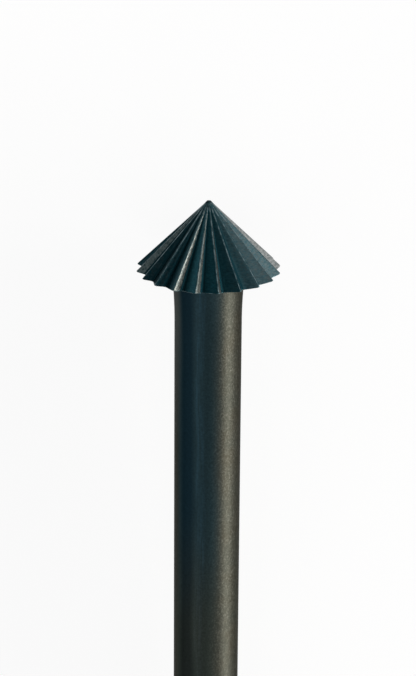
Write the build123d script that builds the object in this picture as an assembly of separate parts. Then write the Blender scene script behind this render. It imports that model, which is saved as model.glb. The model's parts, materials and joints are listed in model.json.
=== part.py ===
from build123d import *
import os
from math import atan2, cos, degrees, radians, sin, tan

# A 90 degree cone bur: a cone head with milled teeth on a plain round shank, one piece of steel.
#
# Sizes are in millimetres. The bur is drawn upright, with its axis on Z, the end of its shank at
# height 0 and the point of its cone on top. It is then laid down as it rests on a bench: on the
# teeth to each side of a flute and on the edge of the shank end, with its point towards +X.

# Overall sizes

OVERALL_LENGTH = 44.0
SHANK_DIAMETER = 2.35
HEAD_DIAMETER = 5.0
CONE_ANGLE = 90.0

# The turned blank

NOSE_RADIUS = 0.10  # rounds the point of the cone
RIM_ROUND = 0.03  # rounds the edge between the cone and the back of the head
BACK_SLOPE = 13.0  # angle by which the back of the head falls towards the shank
NECK_LENGTH = 1.60  # stretch behind the head over which the shank swells a little
NECK_SWELL = 0.08
NECK_ROUND = 0.15
END_CHAMFER = 0.20

# The milled teeth, with each flute's section taken at the rim of the cone

TOOTH_COUNT = 20
FLUTE_DEPTH = 0.395  # to the bottom of the V, before it is rounded
FLUTE_LEAD_ANGLE = 3.8  # turn about the axis from a cutting edge to the bottom of its flute
GULLET_RADIUS = 0.10
LAND_WIDTH = 0.03  # strip of the turned cone left behind each cutting edge
SMOOTH_NOSE = 0.155  # depth below the sharp point at which the flutes run out

# Radii and levels up the axis

head_radius = HEAD_DIAMETER / 2
shank_radius = SHANK_DIAMETER / 2
neck_radius = shank_radius + NECK_SWELL
half_cone = radians(CONE_ANGLE / 2)
back_slope = radians(BACK_SLOPE)
point_level = OVERALL_LENGTH + NOSE_RADIUS * (1 / sin(half_cone) - 1)
cone_height = head_radius / tan(half_cone)
rim_level = point_level - cone_height

# The cone and the back meet in a sharp corner a little outside the head, and its round brings the
# head in to its radius.
overhang = RIM_ROUND * ((cos(half_cone) + sin(back_slope)) / (1 - sin(half_cone - back_slope)) - 1)
corner_radius = head_radius + overhang
corner_level = rim_level - overhang / tan(half_cone)
back_level = corner_level - (corner_radius - neck_radius) * tan(back_slope)

# Spacing round the axis, in degrees

tooth_pitch = 360 / TOOTH_COUNT
land_angle = degrees(LAND_WIDTH / head_radius)


def around(radius: float, angle: float) -> Vector:
    """A point in plan, at a distance from the axis and an angle in degrees from +X."""
    return Vector(radius, 0, 0).rotate(Axis.Z, angle)


def turned_blank() -> Solid:
    """Revolve the outline of the shank, the swollen neck, the sloping back, the cone and the nose."""
    neck_start = (shank_radius, back_level - NECK_LENGTH)
    neck_end = (neck_radius, back_level)
    rim_corner = (corner_radius, corner_level)
    nose_side = (
        NOSE_RADIUS * cos(half_cone),
        OVERALL_LENGTH - NOSE_RADIUS + NOSE_RADIUS * sin(half_cone),
    )
    nose_top = (0, OVERALL_LENGTH)
    with BuildSketch() as outline:
        with BuildLine():
            Polyline((0, 0), (shank_radius - END_CHAMFER, 0), (shank_radius, END_CHAMFER), neck_start)
            TangentArc(neck_start, neck_end, tangent=(0, 1))
            Polyline(neck_end, rim_corner, nose_side)
            TangentArc(nose_side, nose_top, tangent=(-sin(half_cone), cos(half_cone)))
            Line(nose_top, (0, 0))
        make_face()
        for corner, radius in ((neck_end, NECK_ROUND), (rim_corner, RIM_ROUND)):
            fillet(outline.vertices().sort_by_distance(Vector(*corner))[0], radius)
    return revolve(Plane.XZ * outline.sketch, Axis.Z).solid()


def flute_cutter() -> Solid:
    """A wedge that narrows to a point just above the cone and mills one flute.

    Its near side cuts the steep face of one tooth and its far side the long back of the next.
    Its point is that little above the cone's own point that the bottom of the flute comes out
    through the cone at the smooth nose.
    """
    depth_left = 1 - FLUTE_DEPTH / head_radius
    overshoot = SMOOTH_NOSE * cone_height * (1 - depth_left) / (cone_height * depth_left - SMOOTH_NOSE)
    wedge_point = point_level + overshoot
    base_level = back_level - NECK_ROUND
    growth = (wedge_point - base_level) / (wedge_point - rim_level)

    cutting_edge = around(head_radius, 0) * growth
    gullet = around(head_radius - FLUTE_DEPTH, FLUTE_LEAD_ANGLE) * growth
    next_land = around(head_radius, tooth_pitch - land_angle) * growth
    outside = around(2 * head_radius, tooth_pitch / 2)
    with BuildSketch(Plane.XY.offset(base_level)) as base:
        with BuildLine():
            Polyline(gullet, 2 * cutting_edge - gullet, outside, 2 * next_land - gullet, close=True)
        make_face()
        fillet(base.vertices().sort_by_distance(gullet)[0], GULLET_RADIUS * growth)
    return loft([base.sketch.face(), Vertex(0, 0, wedge_point)], ruled=True).solid()


def milled_bur() -> Solid:
    """Mill the flutes into the blank, with the middle of the gap between two teeth at +X."""
    cutter = Rot(Z=(tooth_pitch + land_angle) / 2) * flute_cutter()
    return (turned_blank() - [Rot(Z=tooth_pitch * tooth) * cutter for tooth in range(TOOTH_COUNT)]).solid()


def laid_down(bur: Solid) -> Solid:
    """Lay the bur on two teeth and its shank end, with the middle of its box above the origin."""
    tooth_drop = head_radius * cos(radians(tooth_pitch - land_angle) / 2)
    tooth_level = rim_level - RIM_ROUND * tan(half_cone / 2)
    rise = degrees(atan2(tooth_drop - shank_radius, tooth_level - END_CHAMFER))
    lying = Rot(Y=90 - rise) * bur
    box = lying.bounding_box()
    return Pos(-box.center().X, -box.center().Y, -box.min.Z) * lying


os.makedirs("parts", exist_ok=True)
export_step(laid_down(milled_bur()), "parts/cone_bur.step")
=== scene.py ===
"""The look of a 90 degree cone bur in blued steel, lying on a pale floor.

The bur is modelled upright in millimetres, with the end of its shank at height 0 and its point on
top, and is then laid in the row frame, which is in metres.
"""

import json
import logging
import math
from collections.abc import Iterator
from dataclasses import dataclass, field
from enum import IntEnum

import bmesh
import bpy
from mathutils import Matrix, Vector, noise


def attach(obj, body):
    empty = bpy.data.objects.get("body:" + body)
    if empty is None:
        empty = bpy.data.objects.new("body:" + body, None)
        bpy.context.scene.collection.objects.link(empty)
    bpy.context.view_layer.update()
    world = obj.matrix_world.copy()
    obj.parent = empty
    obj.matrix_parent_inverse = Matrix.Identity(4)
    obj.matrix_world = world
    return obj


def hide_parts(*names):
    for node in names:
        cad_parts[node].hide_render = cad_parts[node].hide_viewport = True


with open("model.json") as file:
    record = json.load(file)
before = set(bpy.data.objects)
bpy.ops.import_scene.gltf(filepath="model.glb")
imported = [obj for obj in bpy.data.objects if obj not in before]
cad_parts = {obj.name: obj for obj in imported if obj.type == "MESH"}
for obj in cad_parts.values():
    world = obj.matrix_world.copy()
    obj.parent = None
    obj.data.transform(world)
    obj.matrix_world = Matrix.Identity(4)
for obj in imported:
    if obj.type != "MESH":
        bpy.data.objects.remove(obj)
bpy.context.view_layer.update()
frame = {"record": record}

LOG = logging.getLogger("cone_bur")
MM = 0.001
PHOTO_WIDTH = 416
PHOTO_HEIGHT = 676

# A noise runs from 0 to 1 and mostly stays within its spread of its middle
NOISE_MIDDLE = 0.5
NOISE_SPREAD = 0.18

Colour = tuple[float, float, float]
Sizes = tuple[float, float, float]
Pair = tuple[float, float]
Ring = list[Vector]


class Zone(IntEnum):
    """Where a face of the bur lies, which is also the number of its material slot."""

    SHANK = 0
    BACK = 1
    FLANK = 2
    FACE = 3
    EDGE = 4
    GULLET = 5
    END = 6


@dataclass(frozen=True)
class Lie:
    """How the lying bur's axis runs in the row frame, in metres and radians."""

    shank_end: Vector
    rise: float

    @classmethod
    def from_record(cls, grip_middle: float) -> "Lie":
        """Read the axis from the record's mount.

        Args:
            grip_middle: height in millimetres of the mount's middle above the shank's end.

        Returns:
            The lie of the bur.
        """
        mount = frame["record"]["mounts"][0]
        towards_point = -Vector(mount["axis"]).normalized()
        shank_end = Vector(mount["pos_m"]) - towards_point * grip_middle * MM
        return cls(shank_end, math.atan2(towards_point.z, towards_point.x))

    @property
    def towards_point(self) -> Vector:
        """Give the direction of the axis."""
        return Vector((math.cos(self.rise), 0, math.sin(self.rise)))

    def on_axis(self, level: float) -> Vector:
        """Give the point of the axis at a height in millimetres above the shank's end."""
        return self.shank_end + self.towards_point * level * MM

    def matrix(self) -> Matrix:
        """Give the turn, size and move that lay the upright bur in the row frame."""
        turn = Matrix.Rotation(math.pi / 2 - self.rise, 4, "Y")
        return Matrix.Translation(self.shank_end) @ turn @ Matrix.Scale(MM, 4)


# Shader maths


def opaque(colour: Colour) -> tuple[float, float, float, float]:
    """Give a colour the fourth number that a colour socket takes."""
    return (*colour, 1.0)


class Signal:
    """One output socket of a material, with Python's arithmetic on it."""

    def __init__(self, graph: "Graph", socket: bpy.types.NodeSocket) -> None:
        """Keep the graph that the socket belongs to, and the socket."""
        self.graph = graph
        self.socket = socket

    def __add__(self, other: "Signal | float") -> "Signal":
        """Add a signal or a number."""
        return self.graph.math("ADD", self, other)

    def __sub__(self, other: "Signal | float") -> "Signal":
        """Take away a signal or a number."""
        return self.graph.math("SUBTRACT", self, other)

    def __rsub__(self, other: float) -> "Signal":
        """Take this signal from a number."""
        return self.graph.math("SUBTRACT", other, self)

    def __mul__(self, other: "Signal | float") -> "Signal":
        """Multiply by a signal or a number."""
        return self.graph.math("MULTIPLY", self, other)

    __radd__ = __add__
    __rmul__ = __mul__


class Graph:
    """The node tree of one material, built from Python expressions."""

    def __init__(self, name: str) -> None:
        """Start an empty node tree.

        Args:
            name: the material's name.
        """
        self.material = bpy.data.materials.new(name)
        self.material.use_nodes = True
        self.tree = self.material.node_tree
        self.tree.nodes.clear()

    def node(
        self,
        kind: str,
        settings: dict[str, object] | None = None,
        inputs: dict[str | int, object] | None = None,
        output: str | int = 0,
    ) -> Signal:
        """Add a node, set it up and feed its sockets.

        Args:
            kind: the node's type, without its ShaderNode prefix.
            settings: the node's own settings, which are set first.
            inputs: a number, a colour or a signal for each socket, by name or by place.
            output: the socket that is handed back, by name or by place.

        Returns:
            The node's output as a signal.
        """
        made = self.tree.nodes.new("ShaderNode" + kind)
        for key, value in (settings or {}).items():
            setattr(made, key, value)
        for key, value in (inputs or {}).items():
            if isinstance(value, Signal):
                self.tree.links.new(value.socket, made.inputs[key])
            else:
                made.inputs[key].default_value = value
        return Signal(self, made.outputs[output])

    def math(self, operation: str, *values: Signal | float) -> Signal:
        """Work out one operation on signals and numbers."""
        return self.node("Math", {"operation": operation}, dict(enumerate(values)))

    def smooth_step(self, value: Signal, low: float, high: float) -> Signal:
        """Rise smoothly from 0 where the value is low to 1 where it is high."""
        return self.node(
            "MapRange",
            {"interpolation_type": "SMOOTHSTEP"},
            {"Value": value, "From Min": low, "From Max": high},
        )

    def mix_colour(self, factor: Signal, first: Signal | Colour, second: Signal | Colour) -> Signal:
        """Blend two colours.

        Args:
            factor: 0 gives the first colour and 1 the second.
            first: a colour or a signal.
            second: a colour or a signal.

        Returns:
            The blended colour.
        """
        low, high = (end if isinstance(end, Signal) else opaque(end) for end in (first, second))
        colour_sockets = {0: factor, 6: low, 7: high}
        return self.node("Mix", {"data_type": "RGBA"}, colour_sockets, output=2)

    def noise(self, place: Signal, scale: float, detail: float, roughness: float) -> Signal:
        """Take a noise value between 0 and 1.

        Args:
            place: the coordinates that the noise follows.
            scale: how many lumps there are in one unit of them.
            detail: how many finer layers are added.
            roughness: how strong those are.

        Returns:
            The noise.
        """
        inputs = {"Vector": place, "Scale": scale, "Detail": detail, "Roughness": roughness}
        return self.node("TexNoise", inputs=inputs)

    def axes(self, place: Signal) -> tuple[Signal, Signal, Signal]:
        """Take a place apart into its three numbers."""
        first = self.node("SeparateXYZ", inputs={"Vector": place})
        return tuple(Signal(self, socket) for socket in first.socket.node.outputs)

    def turned_from(self, place: Signal, side: float) -> Signal:
        """Measure how far a place is turned round the axis from a side.

        Args:
            place: the place, with its first number along the axis.
            side: the side's angle in degrees from the top, towards +Y.

        Returns:
            The angle in radians, 0 at that side and pi opposite.
        """
        _, across, height = self.axes(place)
        around = self.math("ARCTAN2", across, height) - math.radians(side)
        return self.math("ABSOLUTE", self.math("WRAP", around, math.pi, -math.pi))

    def stretched(self, place: Signal, sizes: Sizes) -> Signal:
        """Scale a place so that lumps of these sizes along its three axes are 1 long."""
        scale = tuple(1 / size for size in sizes)
        return self.node("Mapping", inputs={"Vector": place, "Scale": scale})

    def finish(self, shader: Signal) -> bpy.types.Material:
        """Link a shader to the output.

        Args:
            shader: what the surface shows.

        Returns:
            The finished material.
        """
        surface = self.tree.nodes.new("ShaderNodeOutputMaterial")
        self.tree.links.new(shader.socket, surface.inputs["Surface"])
        return self.material


# Finishes


@dataclass(frozen=True)
class PaintedLightPatch:
    """Painted light: a part of the bur, to one side of its axis, painted paler where light falls.

    Angles are in degrees. The side is measured round the axis from the top, towards +Y. The tint is
    whole out to an angle on each side of it, and has faded out at the reach.
    """

    tint: Colour
    side: float
    full: float
    reach: float


@dataclass(frozen=True)
class BluedSteel:
    """Steel in a dark oxide skin, with clouds of a second tint, rubbed spots and a fine grain.

    Tints are how much the steel reflects straight on, and grazing is its tint at the edge of a
    curve. Sizes are in millimetres, along the bur's axis, across it and upwards. The patches are
    painted light: paler tints on chosen sides, as painted highlights where the light falls.
    """

    name: str
    tint: Colour
    cloud: Colour
    rubbed: Colour
    rubbed_share: float = 0.0
    rubbed_size: Sizes = (0.12, 0.12, 0.12)
    rubbed_softness: float = 0.09
    # Painted highlights: paler patches on chosen sides, with their cover and mottle
    painted_light_patches: tuple[PaintedLightPatch, ...] = ()
    painted_light_cover: float = 0.82
    painted_light_mottle: float = 1.6
    cloud_size: float = 1.2
    cloud_span: Pair = (0.38, 0.66)
    roughness: float = 0.36
    roughness_spread: float = 0.12
    grazing: Colour = (1.0, 1.0, 1.0)
    grain_size: Sizes = (0.045, 0.045, 0.045)
    grain_depth: float = 0.0012
    grain_contrast: float = 0.25

    def material(self, lie: Lie) -> bpy.types.Material:
        """Make the material.

        Args:
            lie: how the bur's axis runs.

        Returns:
            The material, for a piece in the row frame.
        """
        graph = Graph(self.name)
        start = Matrix.Rotation(lie.rise, 3, "Y") @ lie.shank_end / MM
        place = graph.node(
            "Mapping",
            inputs={
                "Vector": graph.node("TexCoord", output="Object"),
                "Location": tuple(-start),
                "Rotation": (0, lie.rise, 0),
                "Scale": (1 / MM, 1 / MM, 1 / MM),
            },
        )
        fine = graph.stretched(place, self.grain_size)
        grain = graph.noise(fine, scale=1.0, detail=2, roughness=0.6)
        colour = self.colour(graph, place)
        grain_light = 1 + self.grain_contrast * 2 * (grain - NOISE_MIDDLE)
        colour = graph.node("VectorMath", {"operation": "SCALE"}, {0: colour, "Scale": grain_light})
        relief = {"Strength": 1.0, "Distance": self.grain_depth * MM, "Height": grain}
        shader = graph.node(
            "BsdfPrincipled",
            inputs={
                "Base Color": colour,
                "Metallic": 1.0,
                "Roughness": self.roughness + self.roughness_spread * (grain - NOISE_MIDDLE),
                "Specular Tint": opaque(self.grazing),
                "Normal": graph.node("Bump", inputs=relief),
            },
        )
        return graph.finish(shader)

    def colour(self, graph: Graph, place: Signal) -> Signal:
        """Blend the tints.

        Args:
            graph: the material's nodes.
            place: the point in millimetres from the shank's end, its first number along the axis.

        Returns:
            The colour.
        """
        lumps = graph.noise(place, scale=1 / self.cloud_size, detail=3, roughness=0.55)
        clouds = graph.smooth_step(lumps, *self.cloud_span)
        colour = graph.mix_colour(clouds, self.tint, self.cloud)
        patchy = graph.stretched(place, self.rubbed_size)
        spots = graph.noise(patchy, scale=1.0, detail=3, roughness=0.65)
        middle = NOISE_MIDDLE + NOISE_SPREAD * (1 - 2 * self.rubbed_share)
        low, high = middle - self.rubbed_softness, middle + self.rubbed_softness
        rubbed = graph.smooth_step(spots, low, high)
        colour = graph.mix_colour(rubbed, colour, self.rubbed)
        # Painted light: each patch paints a paler tint on one side of the axis, mottled by the
        # spots
        for painted_patch in self.painted_light_patches:
            away = graph.turned_from(place, painted_patch.side)
            share = 1 - graph.smooth_step(away, math.radians(painted_patch.full), math.radians(painted_patch.reach))
            painted_light_share = share * (self.painted_light_mottle * (spots - NOISE_MIDDLE) + self.painted_light_cover)
            colour = graph.mix_colour(painted_light_share, colour, painted_patch.tint)
        return colour


@dataclass(frozen=True)
class BandedSteel(BluedSteel):
    """Blued steel of the shank: warm on one side and cool on the other, with a navy band there.

    The band and the cool tint turn brown towards the shank's end, and a painted highlight makes
    the neck paler on the far side of the band. Sides, middles and widths are in degrees round the
    axis from the top, towards +Y, and levels are in millimetres from the shank's end.
    """

    cool: Colour = (0.0190, 0.0375, 0.0440)
    cool_end: Colour = (0.032, 0.04, 0.0347)
    navy: Colour = (0.006, 0.016, 0.0224)
    navy_end: Colour = (0.0127, 0.016, 0.0147)
    streak: Colour = (0.0250, 0.0560, 0.0740)
    streak_end: Colour = (0.0400, 0.0500, 0.0470)
    warm_side: float = -32.0
    cool_side: float = -3.0
    far_side: float = 46.0
    far_fade: float = 25.0
    band_middle: float = 36.0
    band_width: float = 23.0
    band_core: float = 0.25
    streak_middle: float = 11.0
    streak_width: float = 11.0
    streak_size: Sizes = (1.3, 0.06, 0.06)
    streak_span: Pair = (0.3, 0.75)
    neck: Colour = (0.058, 0.066, 0.064)
    neck_highlight_side: float = 74.0
    neck_highlight_width: float = 30.0
    neck_highlight_levels: Pair = (34.5, 41.0)
    brown_level: float = 27.0
    blue_level: float = 33.5
    drift_size: Sizes = (5.0, 1.2, 1.2)
    drift_turn: float = 12.0
    drift_rise: float = 3.0

    def colour(self, graph: Graph, place: Signal) -> Signal:
        """Blend the tints, the band and its streaks.

        Args:
            graph: the material's nodes.
            place: the point in millimetres from the shank's end, its first number along the axis.

        Returns:
            The colour.
        """
        warm = super().colour(graph, place)
        level, across, height = graph.axes(place)
        wide = graph.stretched(place, self.drift_size)
        drift = graph.noise(wide, scale=1.0, detail=2, roughness=0.5) - NOISE_MIDDLE
        side = graph.math("DEGREES", graph.math("ARCTAN2", across, height))
        around = side + self.drift_turn * drift
        blue = graph.smooth_step(level + self.drift_rise * drift, self.brown_level, self.blue_level)

        def near(middle: float, width: float) -> Signal:
            """Give 1 in the middle of a band round the axis and 0 outside its width."""
            offset = graph.math("ABSOLUTE", around - middle)
            return 1 - graph.smooth_step(offset, self.band_core * width, width)

        def along(end: Colour, start: Colour) -> Signal:
            """Blend from the tint at the shank's end to the tint near the head."""
            return graph.mix_colour(blue, end, start)

        begun = graph.smooth_step(around, self.warm_side, self.cool_side)
        over = graph.smooth_step(around, self.far_side, self.far_side + self.far_fade)
        colour = graph.mix_colour(begun * (1 - over), warm, along(self.cool_end, self.cool))
        band = near(self.band_middle, self.band_width)
        colour = graph.mix_colour(band, colour, along(self.navy_end, self.navy))
        long = graph.stretched(place, self.streak_size)
        lines = graph.noise(long, scale=1.0, detail=3, roughness=0.65)
        streaks = near(self.streak_middle, self.streak_width)
        streaks = streaks * graph.smooth_step(lines, *self.streak_span)
        colour = graph.mix_colour(streaks, colour, along(self.streak_end, self.streak))
        # Painted highlight: a paler tint on one side of the neck, near the head
        neck = near(self.neck_highlight_side, self.neck_highlight_width) * graph.smooth_step(level, *self.neck_highlight_levels)
        return graph.mix_colour(neck, colour, self.neck)


@dataclass(frozen=True)
class PaleFloor:
    """Matt white floor, nearly shadowless where it is seen, straight on or in the steel."""

    name: str = "pale_floor"
    colour: Colour = (0.94, 0.94, 0.94)
    evenness: float = 0.87

    def material(self) -> bpy.types.Material:
        """Make the material.

        Returns:
            The floor's material.
        """
        graph = Graph(self.name)
        matt = graph.node("BsdfDiffuse", inputs={"Color": opaque(self.colour)})
        white = graph.node("Emission", inputs={"Strength": 1.0})
        seen = graph.node("LightPath", output="Is Camera Ray")
        for kind in ("Is Glossy Ray", "Is Transmission Ray"):
            seen = graph.math("MAXIMUM", seen, graph.node("LightPath", output=kind))
        shaders = {0: self.evenness * seen, 1: matt, 2: white}
        return graph.finish(graph.node("MixShader", inputs=shaders))


FINISHES = {
    Zone.SHANK: BandedSteel(
        "blued_shank_and_painted_highlight",
        tint=(0.032, 0.0333, 0.0273),
        cloud=(0.0333, 0.032, 0.0247),
        rubbed=(0.0507, 0.0507, 0.0427),
        rubbed_share=0.25,
        rubbed_size=(0.07, 0.07, 0.07),
        rubbed_softness=0.14,
        # Painted highlight: a paler tint along the shank's +Y side
        painted_light_patches=(PaintedLightPatch((0.046, 0.049, 0.043), 90.0, 12.0, 32.0),),
        roughness=0.45,
        grazing=(0.45, 0.45, 0.45),
        grain_size=(0.07, 0.07, 0.07),
        grain_contrast=0.4,
    ),
    Zone.BACK: BluedSteel(
        "blued_back",
        tint=(0.0187, 0.0347, 0.0373),
        cloud=(0.024, 0.04, 0.04),
        rubbed=(0.038, 0.050, 0.050),
        rubbed_share=0.25,
        rubbed_softness=0.16,
        roughness=0.45,
    ),
    Zone.FLANK: BluedSteel(
        "blued_flanks_and_painted_highlight",
        tint=(0.0050, 0.042, 0.055),
        cloud=(0.0050, 0.036, 0.049),
        rubbed=(0.0110, 0.055, 0.068),
        rubbed_share=0.5,
        rubbed_size=(0.04, 0.12, 0.12),
        rubbed_softness=0.2,
        # Painted light on the -Y side: a paler tint over the flanks, and a near-white painted
        # highlight
        painted_light_patches=(
            PaintedLightPatch((0.038, 0.054, 0.057), -100.0, 30.0, 96.0),
            PaintedLightPatch((0.216, 0.224, 0.221), -112.0, 18.0, 33.0),
        ),
        painted_light_mottle=2.4,
        grain_size=(0.05, 0.12, 0.12),
        grain_contrast=0.6,
        roughness=0.38,
    ),
    Zone.FACE: BluedSteel(
        "rubbed_faces_and_painted_highlight",
        tint=(0.0040, 0.026, 0.034),
        cloud=(0.0055, 0.028, 0.035),
        rubbed=(0.0150, 0.036, 0.043),
        rubbed_share=0.5,
        rubbed_size=(0.09, 0.09, 0.09),
        rubbed_softness=0.1,
        # Painted highlights: a pale tint on the faces that face upwards, and another towards +Y
        painted_light_patches=(
            PaintedLightPatch((0.155, 0.165, 0.152), 4.0, 25.0, 34.0),
            PaintedLightPatch((0.090, 0.118, 0.118), 81.0, 6.0, 14.0),
        ),
        painted_light_mottle=3.2,
        roughness=0.42,
        grain_size=(0.08, 0.08, 0.08),
        grain_contrast=0.5,
    ),
    Zone.EDGE: BluedSteel(
        "honed_edges",
        tint=(0.0187, 0.0507, 0.0587),
        cloud=(0.0267, 0.06, 0.0667),
        rubbed=(0.1067, 0.1533, 0.1667),
        rubbed_share=0.5,
        rubbed_size=(0.22, 0.22, 0.22),
        roughness=0.36,
    ),
    Zone.GULLET: BluedSteel(
        "blued_gullets_and_painted_light",
        tint=(0.0040, 0.0230, 0.0300),
        cloud=(0.0035, 0.0200, 0.0270),
        rubbed=(0.0060, 0.0280, 0.0350),
        rubbed_share=0.5,
        rubbed_softness=0.2,
        # Painted light: a paler tint over the gullets on the -Y side
        painted_light_patches=(PaintedLightPatch((0.0373, 0.0547, 0.0573), -100.0, 20.0, 60.0),),
        roughness=0.42,
    ),
    Zone.END: BluedSteel(
        "blued_end",
        tint=(0.030, 0.032, 0.027),
        cloud=(0.024, 0.030, 0.029),
        rubbed=(0.044, 0.044, 0.038),
        rubbed_share=0.25,
        rubbed_size=(0.07, 0.07, 0.07),
        rubbed_softness=0.14,
        roughness=0.45,
    ),
}


# The bur

# Where the parts of one tooth's outline start, in points from the start of its land
FACE_START = 4
GULLET_START = 6
FLANK_START = 10
HEEL = 15
TOOTH_POINTS = 16


def eased(before: Vector, corner: Vector, after: Vector) -> Vector:
    """Draw a corner halfway in towards the middle of its two neighbours."""
    return (before + 2 * corner + after) / 4


@dataclass
class Blank:
    """The turned blank of the bur: shank, swollen neck, sloping back, cone and nose.

    Sizes are in millimetres and angles in degrees. The corners of the chamfer at the shank's end
    are softened, each through points that are given as shares of the softening, up and outwards.
    """

    overall_length: float = 44.0
    shank_diameter: float = 2.35
    head_diameter: float = 5.0
    cone_angle: float = 90.0
    nose_radius: float = 0.10
    rim_round: float = 0.03
    back_slope: float = 13.0
    neck_length: float = 1.60
    neck_swell: float = 0.08
    neck_round: float = 0.15
    end_chamfer: float = 0.20
    end_softening: float = 0.03
    end_corner: tuple[Pair, ...] = ((0.0, -1.0), (0.1, -0.3), (0.5, 0.4))
    side_corner: tuple[Pair, ...] = ((-0.4, -0.5), (0.3, -0.1))
    shank_steps: int = 24
    swell_steps: int = 12
    neck_steps: int = 8
    rim_steps: int = 6
    cone_steps: int = 30
    cone_crowding: float = 1.5
    nose_shares: tuple[float, ...] = (0.35, 0.7, 0.93)

    def __post_init__(self) -> None:
        """Work out the radii and levels that the sizes give."""
        self.head_radius = self.head_diameter / 2
        self.shank_radius = self.shank_diameter / 2
        self.half_cone = math.radians(self.cone_angle / 2)
        self.slope = math.radians(self.back_slope)
        above_nose = self.nose_radius * (1 / math.sin(self.half_cone) - 1)
        self.point_level = self.overall_length + above_nose
        self.rim_level = self.point_level - self.head_radius / math.tan(self.half_cone)
        self.edge_level, self.edge_radius = self.rim(self.slope - math.pi / 2)
        self.cone_level = self.rim(self.half_cone)[0]
        self.neck_start = self.back(self.shank_radius + self.neck_swell) - self.neck_length

    def rim(self, turn: float) -> Pair:
        """Give a point of the round at the rim.

        Args:
            turn: angle in radians from straight outwards, up towards the cone or down to the back.

        Returns:
            The point's level and radius.
        """
        level = self.rim_level - self.rim_round * math.tan(self.half_cone / 2)
        radius = self.head_radius - self.rim_round
        return level + self.rim_round * math.sin(turn), radius + self.rim_round * math.cos(turn)

    def back(self, radius: float) -> float:
        """Give the level of the sloping back at a radius."""
        return self.edge_level - (self.edge_radius - radius) * math.tan(self.slope)

    def cone(self, level: float) -> float:
        """Work out how wide the cone or the nose is.

        Args:
            level: height above the shank's end.

        Returns:
            The radius there.
        """
        nose_centre = self.overall_length - self.nose_radius
        if level > nose_centre + self.nose_radius * math.sin(self.half_cone):
            return math.sqrt(max(0.0, self.nose_radius**2 - (level - nose_centre) ** 2))
        return (self.point_level - level) * math.tan(self.half_cone)

    def shank(self) -> Iterator[Pair]:
        """Step up the blank from the shank's end to the foot of the sloping back.

        Returns:
            The level and radius of each step.
        """
        end_radius = self.shank_radius - self.end_chamfer
        soft = self.end_softening
        for up, out in self.end_corner:
            yield up * soft, end_radius + out * soft
        for up, out in self.side_corner:
            yield self.end_chamfer + up * soft, self.shank_radius + out * soft
        grip_start = self.end_chamfer + soft
        for step in range(self.shank_steps):
            level = grip_start + (self.neck_start - grip_start) * step / self.shank_steps
            yield level, self.shank_radius
        swell_radius = (self.neck_length**2 + self.neck_swell**2) / (2 * self.neck_swell)
        foot_radius = self.shank_radius + self.neck_swell + self.neck_round
        foot_level = self.back(foot_radius) - self.neck_round / math.cos(self.slope)
        for step in range(self.swell_steps + 1):
            height = (foot_level - self.neck_start) * step / self.swell_steps
            radius = self.shank_radius + swell_radius - math.sqrt(swell_radius**2 - height**2)
            yield self.neck_start + height, radius
        foot_radius = radius + self.neck_round
        for step in range(1, self.neck_steps + 1):
            turn = (math.pi / 2 - self.slope) * step / self.neck_steps
            level = foot_level + self.neck_round * math.sin(turn)
            yield level, foot_radius - self.neck_round * math.cos(turn)

    def head(self) -> Iterator[Pair]:
        """Step up the blank from the back's outer edge to just below the top, closer at the nose.

        Returns:
            The level and radius of each step.
        """
        sweep = math.pi / 2 - self.slope + self.half_cone
        for step in range(self.rim_steps + 1):
            yield self.rim(self.slope - math.pi / 2 + sweep * step / self.rim_steps)
        cone_end = self.overall_length - self.nose_radius * (1 - math.sin(self.half_cone))
        for step in range(1, self.cone_steps + 1):
            share = 1 - (1 - step / self.cone_steps) ** self.cone_crowding
            level = self.cone_level + (cone_end - self.cone_level) * share
            yield level, self.cone(level)
        for share in self.nose_shares:
            level = cone_end + (self.overall_length - cone_end) * share
            yield level, self.cone(level)


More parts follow.
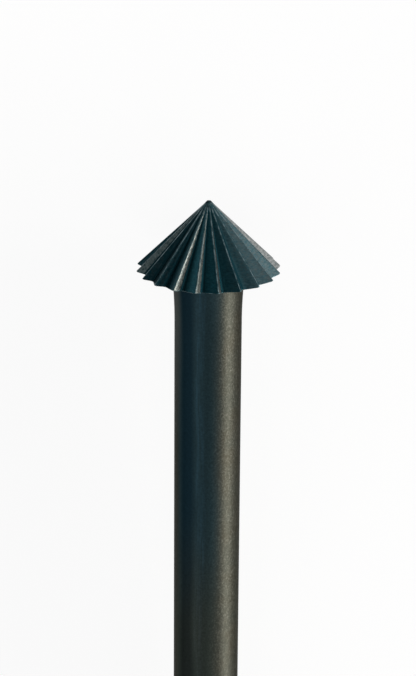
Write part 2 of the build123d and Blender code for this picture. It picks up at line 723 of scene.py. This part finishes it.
@dataclass
class Flute:
    """The milled gap between two teeth, with its section taken at the rim of the cone.

    Sizes are in millimetres and angles in degrees. Each side of the section runs on past its end by
    the overrun, which is a share of its length, so that it leaves the blank.
    """

    head_radius: float
    teeth: int = 20
    depth: float = 0.395
    lead_angle: float = 3.8
    gullet_radius: float = 0.10
    land_width: float = 0.03
    smooth_nose: float = 0.155
    arc_steps: int = 12
    overrun: float = 0.6
    halvings: int = 30

    def __post_init__(self) -> None:
        """Lay out the section as a fine line from past the cutting edge to past the next land."""
        self.pitch = 360 / self.teeth
        self.land_angle = math.degrees(self.land_width / self.head_radius)
        edge = self._around(self.head_radius, 0)
        gullet = self._around(self.head_radius - self.depth, self.lead_angle)
        land = self._around(self.head_radius, self.pitch - self.land_angle)
        to_edge = (edge - gullet).normalized()
        to_land = (land - gullet).normalized()
        half_opening = to_edge.angle(to_land) / 2
        tangent = self.gullet_radius / math.tan(half_opening)
        outwards = (to_edge + to_land).normalized()
        centre = gullet + outwards * self.gullet_radius / math.sin(half_opening)
        start = gullet + to_edge * tangent - centre
        end = gullet + to_land * tangent - centre
        sweep = start.angle(end)
        arc = []
        for step in range(self.arc_steps + 1):
            turned, left = sweep * step / self.arc_steps, sweep * (1 - step / self.arc_steps)
            arc.append(centre + (start * math.sin(left) + end * math.sin(turned)) / math.sin(sweep))
        past_edge = edge + (edge - gullet) * self.overrun
        past_land = land + (land - gullet) * self.overrun
        self.line = [past_edge, *arc, past_land]
        self.stops = [0.0]
        for first, second in zip(self.line, self.line[1:]):
            self.stops.append(self.stops[-1] + (second - first).length)
        self.arc_end = len(arc)
        self.bottom = min(range(1, self.arc_end + 1), key=lambda number: self.line[number].length)

    @staticmethod
    def _around(radius: float, angle: float) -> Vector:
        """Give a point in plan, at a distance from the axis and an angle in degrees from +X."""
        turn = math.radians(angle)
        return Vector((radius * math.cos(turn), radius * math.sin(turn), 0))

    def at(self, stop: float) -> Vector:
        """Find a point of the section.

        Args:
            stop: the distance along the section's line.

        Returns:
            The point there, or the line's last point where the distance runs past it.
        """
        for first, second, low, high in zip(self.line, self.line[1:], self.stops, self.stops[1:]):
            if stop <= high:
                return first.lerp(second, (stop - low) / (high - low))
        return self.line[-1].copy()

    def crossing(self, reach: float, outside: float) -> float:
        """Find where one side of the section leaves the blank.

        Args:
            reach: the blank's radius, at the scale of the section.
            outside: the distance along the line to that side's end.

        Returns:
            The distance along the line.
        """
        inside = self.stops[self.bottom]
        if self.at(inside).length >= reach:
            return inside
        for _ in range(self.halvings):
            middle = (inside + outside) / 2
            if self.at(middle).length < reach:
                inside = middle
            else:
                outside = middle
        return inside


@dataclass
class ConeBur:
    """The whole bur as one ground piece: a milled cone head on a plain round shank.

    Its edges are broken, by widths in millimetres: the cutting edges by a hone, the heels of the
    teeth by a smaller one, and the edge of the back. Neither hone is wider than its share of the
    flute, which counts near the nose. Wear makes a hone wider and narrower, with a pace per
    millimetre and each tooth apart from the next. The limits tell one finish from another.
    """

    blank: Blank = field(default_factory=Blank)
    hone: float = 0.009
    hone_share: float = 0.2
    heel_hone: float = 0.006
    heel_share: float = 0.1
    wear: float = 0.005
    wear_pace: float = 2.6
    tooth_apart: float = 7.3
    wear_seed: float = 0.5
    back_break: float = 0.012
    back_steps: tuple[float, ...] = (0.25, 0.5, 0.7, 0.85, 0.94)
    flank_steps: tuple[float, ...] = (0.25, 0.5, 0.75, 1.0)
    weld: float = 0.0002
    end_limit: float = 0.4
    neck_limit: float = 0.95
    neck_reach: float = 1.3
    back_limits: Pair = (0.2, 0.9)
    node: str = "cone_bur"
    slot: str = "blued_steel"

    def __post_init__(self) -> None:
        """Lay out the flute and the point that its wedge narrows to."""
        self.flute = Flute(self.blank.head_radius)
        depth_left = 1 - self.flute.depth / self.blank.head_radius
        cone_height = self.blank.point_level - self.blank.rim_level
        nose = self.flute.smooth_nose
        overshoot = nose * cone_height * (1 - depth_left) / (cone_height * depth_left - nose)
        self.wedge_point = self.blank.point_level + overshoot
        self.wedge_height = self.wedge_point - self.blank.rim_level
        self.first_edge = (self.flute.pitch + self.flute.land_angle) / 2

    def milled(self, stop: float, level: float) -> Vector:
        """Give a point of the first flute's surface.

        Args:
            stop: the distance along the flute's section.
            level: height above the shank's end.

        Returns:
            The point.
        """
        point = self.flute.at(stop) * (self.wedge_point - level) / self.wedge_height
        point.z = level
        return point

    def exit_level(self, stop: float) -> float:
        """Find where a line down the flute comes out through the sloping back.

        Args:
            stop: the distance along the flute's section.

        Returns:
            The level there.
        """
        blank, across = self.blank, self.flute.at(stop).length
        fall = math.tan(blank.slope)
        radius = across * (self.wedge_point - blank.edge_level + blank.edge_radius * fall)
        return blank.back(min(radius / (self.wedge_height + across * fall), blank.edge_radius))

    def section(self, level: float, reach: float, lift: float = 0.0) -> Ring:
        """Work out the head's toothed outline at a level, or its lower edge there.

        Below the cone the flutes' own part of the outline drops to where they come out through the
        back, so that the outline follows that edge.

        Args:
            level: height of the teeth's lands above the shank's end.
            reach: the blank's radius there.
            lift: how far the outline's lowest part is raised from the back's edge.

        Returns:
            The outline's points, anticlockwise from the first land.
        """
        flute, blank = self.flute, self.blank
        scale = (self.wedge_point - level) / self.wedge_height
        edge_stop = flute.crossing(reach / scale, flute.stops[0])
        heel_stop = flute.crossing(reach / scale, flute.stops[-1])
        width = heel_stop - edge_stop
        edge_point, heel_point = flute.at(edge_stop), flute.at(heel_stop)
        edge_turn = math.atan2(edge_point.y, edge_point.x)
        heel_turn = math.atan2(heel_point.y, heel_point.x) - math.radians(flute.pitch)
        rise = min(1.0, (level - blank.edge_level) / (blank.cone_level - blank.edge_level))

        def flute_point(stop: float) -> Vector:
            """Give a point of the flute, lowered towards the back's edge below the cone.

            Args:
                stop: the distance along the flute's section.

            Returns:
                The point.
            """
            if rise == 1.0:
                return self.milled(stop, level)
            low = self.exit_level(stop)
            return self.milled(stop, low + max(rise * (blank.cone_level - low), lift))

        ring = []
        for tooth in range(flute.teeth):
            turn = Matrix.Rotation(math.radians(self.first_edge + flute.pitch * tooth), 3, "Z")
            spot = Vector((level * self.wear_pace, tooth * self.tooth_apart, self.wear_seed))
            hone = self.hone + self.wear * noise.noise(spot)
            hone = min(hone, self.hone_share * width * scale)
            heel = min(self.heel_hone, self.heel_share * width * scale)
            land = [heel_turn + heel / reach, (heel_turn + edge_turn) / 2, edge_turn - hone / reach]
            points = [Vector((reach * math.cos(a), reach * math.sin(a), level)) for a in land]
            face_start = edge_stop + hone / scale
            flank_end = heel_stop - heel / scale
            cutting_edge = self.milled(edge_stop, level)
            points.append(eased(points[-1], cutting_edge, flute_point(face_start)))
            gullet_end = flute.stops[flute.arc_end]
            inner = [face_start, (face_start + flute.stops[1]) / 2]
            inner += flute.stops[1 : flute.arc_end + 1 : 3]
            inner += [gullet_end + (flank_end - gullet_end) * share for share in self.flank_steps]
            points += [flute_point(min(max(stop, face_start), flank_end)) for stop in inner]
            next_land = Matrix.Rotation(math.radians(flute.pitch), 3, "Z") @ points[0]
            points.append(eased(points[-1], self.milled(heel_stop, level), next_land))
            ring += [turn @ point for point in points]
        return ring

    def back_ring(self, edge: Ring, share: float, inset: float = 0.0) -> Ring:
        """Lay a ring on the sloping back.

        Args:
            edge: the outline of the back.
            share: 0 for the foot of the neck and 1 for the outline.
            inset: how far the ring then moves in from there.

        Returns:
            The ring.
        """
        _, foot = list(self.blank.shank())[-1]
        ring = []
        for point in edge:
            radius = foot + (point.xy.length - foot) * share - inset
            across = point.xy.normalized() * radius
            ring.append(Vector((across.x, across.y, self.blank.back(radius))))
        return ring

    def rings(self) -> list[Ring]:
        """Work out every ring of the bur.

        Returns:
            The rings, from the shank's end to just below the top of the nose.
        """
        head = list(self.blank.head())
        edge = self.section(*head[0])
        turns = [point.xy.normalized() for point in edge]
        rings = [
            [Vector((turn.x * radius, turn.y * radius, level)) for turn in turns]
            for level, radius in self.blank.shank()
        ]
        rings += [self.back_ring(edge, share) for share in self.back_steps]
        lower = self.back_ring(edge, 1.0, self.back_break)
        upper = self.section(*head[0], self.back_break)
        rings.append(lower)
        rings.append([eased(*corner) for corner in zip(lower, edge, upper)])
        rings.append(upper)
        rings += [self.section(level, radius, self.back_break) for level, radius in head[1:]]
        return rings

    def build(self) -> bpy.types.Object:
        """Extrude a disc through all the rings and close the nose.

        Returns:
            The upright bur, in millimetres.
        """
        rings = self.rings()
        count = len(rings[0])
        bpy.ops.object.select_all(action="DESELECT")
        bpy.ops.mesh.primitive_circle_add(vertices=count, radius=1.0, fill_type="NGON")
        bur = bpy.context.object
        bur.name = "ground_cone_bur"
        bur.data.name = bur.name
        bpy.ops.object.mode_set(mode="EDIT")
        mesh = bmesh.from_edit_mesh(bur.data)
        station = mesh.verts.layers.int.new("station")
        for vertex in mesh.verts:
            share = math.atan2(vertex.co.y, vertex.co.x) / math.tau
            vertex[station] = round(share * count) % count
        bmesh.update_edit_mesh(bur.data)
        self._lay_selected(bur, rings[0])
        for ring in rings[1:]:
            bpy.ops.mesh.extrude_region_move()
            self._lay_selected(bur, ring)
        bpy.ops.mesh.merge(type="CENTER")
        self._lay_selected(bur, [Vector((0, 0, self.blank.overall_length))] * count)
        bpy.ops.mesh.select_all(action="SELECT")
        bpy.ops.mesh.remove_doubles(threshold=self.weld)
        bpy.ops.mesh.normals_make_consistent(inside=False)
        bpy.ops.object.mode_set(mode="OBJECT")
        LOG.info("%s: %d rings of %d points", bur.name, len(rings), count)
        return bur

    @staticmethod
    def _lay_selected(bur: bpy.types.Object, ring: Ring) -> None:
        """Move the selected corners onto a ring, each to the point with its own number.

        Args:
            bur: the bur, in edit mode.
            ring: the points.
        """
        mesh = bmesh.from_edit_mesh(bur.data)
        station = mesh.verts.layers.int["station"]
        for vertex in mesh.verts:
            if vertex.select:
                vertex.co = ring[vertex[station]]
        bmesh.update_edit_mesh(bur.data)

    def zone(self, face: bpy.types.MeshPolygon, stations: list[int]) -> Zone:
        """Tell where a face of the upright bur lies.

        Args:
            face: the face.
            stations: the number of each corner of the mesh in its ring.

        Returns:
            The zone.
        """
        blank, level, radius = self.blank, face.center.z, face.center.xy.length
        if level < self.end_limit * blank.end_softening:
            return Zone.END
        neck_end = blank.neck_start + self.neck_limit * blank.neck_length
        if level < neck_end and radius < self.neck_reach:
            return Zone.SHANK
        lower, upper = (blank.back(radius) + limit * self.back_break for limit in self.back_limits)
        if level < upper:
            return Zone.BACK if level < lower else Zone.EDGE
        own = {stations[corner] % TOOTH_POINTS for corner in face.vertices}
        start = HEEL if {0, HEEL} <= own else min(own)
        if start < FACE_START or start == HEEL:
            return Zone.EDGE
        if start < GULLET_START:
            return Zone.FACE
        return Zone.GULLET if start < FLANK_START else Zone.FLANK

    def dress(self, bur: bpy.types.Object, lie: Lie) -> None:
        """Give each face its finish, smooth the shading and lay the bur in the row frame.

        Args:
            bur: the upright bur.
            lie: how its axis runs.
        """
        for zone in Zone:
            bur.data.materials.append(FINISHES[zone].material(lie))
        stations = [value.value for value in bur.data.attributes["station"].data]
        for face in bur.data.polygons:
            face.material_index = self.zone(face, stations)
            face.use_smooth = True
        bur.data.attributes.remove(bur.data.attributes["station"])
        bur.matrix_world = lie.matrix()
        bpy.ops.object.transform_apply(location=True, rotation=True, scale=True)
        shading = bur.modifiers.new("even_shading", "WEIGHTED_NORMAL")
        shading.weight = 60
        bpy.ops.object.modifier_apply(modifier=shading.name)
        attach(bur, "root")
        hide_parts(self.node)
        rise = math.degrees(lie.rise)
        LOG.info("%s: %d faces, rise %.3f degrees", bur.name, len(bur.data.polygons), rise)


# The studio


@dataclass
class Studio:
    """The floor and the plain light round it."""

    floor_width: float = 4.0
    ambient: Colour = (0.25, 0.254, 0.258)

    def build(self) -> None:
        """Lay the floor and light the world."""
        bpy.ops.object.select_all(action="DESELECT")
        bpy.ops.mesh.primitive_plane_add(size=self.floor_width)
        floor = bpy.context.object
        floor.name = "floor"
        floor.data.materials.append(PaleFloor().material())
        world = bpy.data.worlds.new("studio")
        world.use_nodes = True
        world.node_tree.nodes["Background"].inputs["Color"].default_value = opaque(self.ambient)
        bpy.context.scene.world = world
        LOG.info("floor: %.1f m wide", self.floor_width)


@dataclass
class SoftBox:
    """A soft rectangular lamp that faces the bur's head.

    Where it hangs, and how wide and tall it looks, are angles in degrees as seen from the head. Its
    distance is in metres.
    """

    name: str
    azimuth: float
    elevation: float
    across: float
    tall: float
    radiance: float
    colour: Colour = (1.0, 1.0, 1.0)
    distance: float = 0.5

    def build(self, target: Vector) -> None:
        """Hang the lamp.

        Args:
            target: the point that it faces.
        """
        turn, lift = math.radians(self.azimuth), math.radians(self.elevation)
        flat = math.cos(lift)
        away = Vector((math.cos(turn) * flat, math.sin(turn) * flat, math.sin(lift)))
        light = bpy.data.lights.new(self.name, "AREA")
        light.shape = "RECTANGLE"
        light.size = 2 * self.distance * math.tan(math.radians(self.across / 2))
        light.size_y = 2 * self.distance * math.tan(math.radians(self.tall / 2))
        light.color = self.colour
        light.energy = self.radiance * math.pi * light.size * light.size_y
        lamp = bpy.data.objects.new(self.name, light)
        lamp.location = target + away * self.distance
        lamp.rotation_euler = away.to_track_quat("Z", "Y").to_euler()
        lamp.visible_camera = False
        bpy.context.scene.collection.objects.link(lamp)
        LOG.info("%s: %.0f by %.0f mm", self.name, light.size / MM, light.size_y / MM)


# Each lamp's azimuth and elevation, its width and height, its radiance and its colour
LAMPS = (
    SoftBox("key", 285.0, 11.0, 16.0, 22.0, 15.5, (1.0, 0.98, 0.95)),
    SoftBox("low_strip", 248.0, 5.5, 62.0, 11.0, 10.5, (1.0, 0.98, 0.94)),
    SoftBox("high_strip", 255.0, 17.0, 52.0, 10.0, 12.5, (1.0, 0.97, 0.92)),
    SoftBox("edge", 301.0, 7.0, 16.0, 13.0, 7.5),
    SoftBox("right", 328.0, 35.0, 34.0, 30.0, 2.0),
    SoftBox("left", 112.0, 26.0, 61.0, 38.0, 1.1, (0.98, 0.99, 1.0)),
    SoftBox("high_left", 98.0, 65.0, 50.0, 17.0, 0.9),
    SoftBox("behind", 200.0, 28.0, 44.0, 40.0, 1.6),
)


@dataclass
class PhotoCamera:
    """The camera as it stood to the bur's head.

    Angles are in degrees, the distance is in metres and the sensor in millimetres.
    """

    distance: float = 0.0915
    above_rim: float = 20.02
    turn: float = 1.12
    roll: float = 0.405
    focal_pixels: float = 2645.0
    rim_column: float = 208.52
    rim_row: float = 267.93
    sensor: float = 36.0

    def build(self, rim: Vector, towards_point: Vector) -> None:
        """Stand the camera.

        Args:
            rim: the middle of the cone's rim.
            towards_point: the direction of the bur's axis.
        """
        sideways = towards_point.cross(Vector((0, 0, 1))).normalized()
        upwards = sideways.cross(towards_point).normalized()
        turn, lift, roll = map(math.radians, (self.turn, self.above_rim, self.roll))
        square_on = upwards * math.cos(turn) + sideways * math.sin(turn)
        away = square_on * math.cos(lift) + towards_point * math.sin(lift)
        up = (towards_point - away * towards_point.dot(away)).normalized()
        right = up.cross(away)
        right, up = self._turned(right, up, roll)
        pitch = math.atan((PHOTO_HEIGHT / 2 - self.rim_row) / self.focal_pixels)
        back, up = self._turned(away, up, pitch)
        yaw = math.atan((self.rim_column - PHOTO_WIDTH / 2) / self.focal_pixels)
        back, right = self._turned(back, right, yaw)
        data = bpy.data.cameras.new("photo_camera")
        data.sensor_width = self.sensor
        data.lens = self.focal_pixels / PHOTO_HEIGHT * self.sensor
        data.clip_start = 0.001
        data.clip_end = 10.0
        camera = bpy.data.objects.new("photo_camera", data)
        basis = Matrix((right, up, back)).transposed().to_4x4()
        camera.matrix_world = Matrix.Translation(rim + away * self.distance) @ basis
        bpy.context.scene.collection.objects.link(camera)
        bpy.context.scene.camera = camera
        LOG.info("camera: lens %.1f mm", data.lens)

    @staticmethod
    def _turned(first: Vector, second: Vector, angle: float) -> tuple[Vector, Vector]:
        """Turn two square directions in their plane, the first towards the second."""
        sine, cosine = math.sin(angle), math.cos(angle)
        return first * cosine + second * sine, second * cosine - first * sine


def main() -> None:
    """Build the bur, the floor, the lamps and the camera."""
    logging.basicConfig(level=logging.INFO, format="%(name)s %(message)s")
    bur = ConeBur()
    lie = Lie.from_record((bur.blank.end_chamfer + bur.blank.neck_start) / 2)
    rim = lie.on_axis(bur.blank.rim_level)
    PhotoCamera().build(rim, lie.towards_point)
    bur.dress(bur.build(), lie)
    Studio().build()
    for lamp in LAMPS:
        lamp.build(rim)
    bpy.context.scene.view_settings.view_transform = "Standard"


if __name__ == "__main__":
    main()
